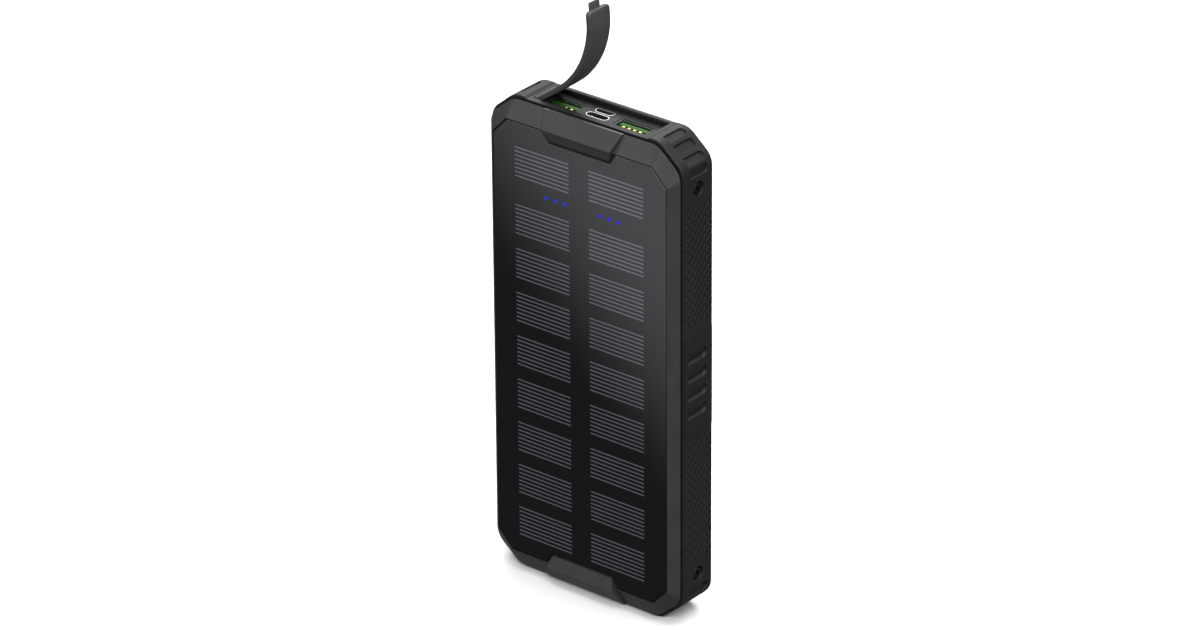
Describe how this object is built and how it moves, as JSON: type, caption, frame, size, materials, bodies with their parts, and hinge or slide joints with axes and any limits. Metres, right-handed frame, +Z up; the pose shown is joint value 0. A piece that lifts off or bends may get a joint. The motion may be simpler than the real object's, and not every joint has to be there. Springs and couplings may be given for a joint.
{
  "type": "solar phone charger",
  "caption": "Rugged hand-sized solar power bank with cut corners, a glass solar face, grip sides, charging sockets under a folding rubber cover, and a side button.",
  "frame": {"origin": "middle of the overall footprint, on the surface the power bank stands on", "axes": "+Z up along the body, -Y out of the solar face, +X to the right when facing the solar face"},
  "size_m": [0.0808, 0.0216, 0.2137],
  "materials": {
    "case_shell": "fine moulded texture, matt",
    "bezel": "satin moulded plastic",
    "panel_face": "black-backed glossy cover glass",
    "adhesive": "black adhesive",
    "solar_cell": "dark silicon cells",
    "board": "green solder mask",
    "light": "clear blue lens",
    "led": "white chip",
    "soft_seal": "soft black seal",
    "port_metal": "bright tinned steel",
    "port_black": "black insulator",
    "steel": "dark zinc-plated steel",
    "chip": "black moulded chip",
    "battery_film": "silver pouch film",
    "foam": "dark foam",
    "contact_gold": "gold-plated contact",
    "brass": "turned brass",
    "cover_rubber": "satin grey flexible rubber",
    "port_green": "green insulator"
  },
  "bodies": {
    "housing": {"rear_case": "case_shell", "front_bezel": "bezel", "panel_glass": "panel_face", "panel_adhesive": "adhesive", "solar_cells": "solar_cell", "panel_backing": "board", "status_lenses": "light", "status_leds": "led", "led_board": "board", "case_seal": "soft_seal", "usb_c_shell": "port_metal", "usb_c_tongue": "port_black", "micro_usb_shell": "port_metal", "micro_usb_tongue": "port_black", "main_board": "board", "board_screws": "steel", "control_chips": "chip", "power_inductors": "chip", "capacitors": "port_metal", "battery_cell_front": "battery_film", "battery_cell_rear": "battery_film", "battery_pads": "foam", "battery_tabs": "port_metal", "panel_ribbon": "contact_gold", "tact_switch": "port_metal", "button_board": "board", "case_screws": "steel", "screw_inserts": "brass", "cover_anchor": "cover_rubber", "usb_a_left_shell": "port_metal", "usb_a_left_tongue": "port_green", "usb_a_left_contacts": "contact_gold", "usb_a_right_shell": "port_metal", "usb_a_right_tongue": "port_green", "usb_a_right_contacts": "contact_gold"},
    "button": {"power_button": "cover_rubber", "switch_plunger": "port_black"},
    "strap_1": {"cover_link_1": "cover_rubber"},
    "strap_2": {"cover_link_2": "cover_rubber"},
    "strap_3": {"cover_link_3": "cover_rubber"},
    "strap_4": {"cover_link_4": "cover_rubber"},
    "strap_5": {"cover_link_5": "cover_rubber"},
    "strap_6": {"cover_link_6": "cover_rubber"},
    "strap_7": {"cover_link_7": "cover_rubber"}
  },
  "joints": [
    {"name": "button_press", "type": "slide", "parent": "housing", "child": "button", "axis": [1, 0, 0], "range_m": [0, 0.0004], "stiffness_N_per_m": 600, "springref_m": -0.0004},
    {"name": "cover_fold", "type": "hinge", "parent": "housing", "child": "strap_1", "pos_m": [-0.0228, 0.0032, 0.1747], "axis": [0, 1, 0], "range_deg": [-12, 35], "stiffness_Nm_per_rad": 0.02},
    {"name": "strap_flex_2", "type": "hinge", "parent": "strap_1", "child": "strap_2", "pos_m": [-0.01543, 0.0032, 0.17986], "axis": [0, 1, 0], "range_deg": [-1.87, 4.5]},
    {"name": "strap_flex_3", "type": "hinge", "parent": "strap_2", "child": "strap_3", "pos_m": [-0.01073, 0.0032, 0.18367], "axis": [0, 1, 0], "range_deg": [-4.27, 11.5]},
    {"name": "strap_flex_4", "type": "hinge", "parent": "strap_3", "child": "strap_4", "pos_m": [-0.00684, 0.0032, 0.1883], "axis": [0, 1, 0], "range_deg": [-4.27, 11.5]},
    {"name": "strap_flex_5", "type": "hinge", "parent": "strap_4", "child": "strap_5", "pos_m": [-0.0039, 0.0032, 0.1936], "axis": [0, 1, 0], "range_deg": [-4.1, 11]},
    {"name": "strap_flex_6", "type": "hinge", "parent": "strap_5", "child": "strap_6", "pos_m": [-0.00198, 0.0032, 0.19933], "axis": [0, 1, 0], "range_deg": [-4.1, 11]},
    {"name": "strap_flex_7", "type": "hinge", "parent": "strap_6", "child": "strap_7", "pos_m": [-0.00114, 0.0032, 0.20532], "axis": [0, 1, 0], "range_deg": [-4.96, 13.5]}
  ],
  "couplings": [
    {"joint": "strap_flex_2", "follows": "cover_fold", "ratio": 0.11429},
    {"joint": "strap_flex_3", "follows": "cover_fold", "ratio": 0.31429},
    {"joint": "strap_flex_4", "follows": "cover_fold", "ratio": 0.31429},
    {"joint": "strap_flex_5", "follows": "cover_fold", "ratio": 0.3},
    {"joint": "strap_flex_6", "follows": "cover_fold", "ratio": 0.3},
    {"joint": "strap_flex_7", "follows": "cover_fold", "ratio": 0.37143}
  ]
}
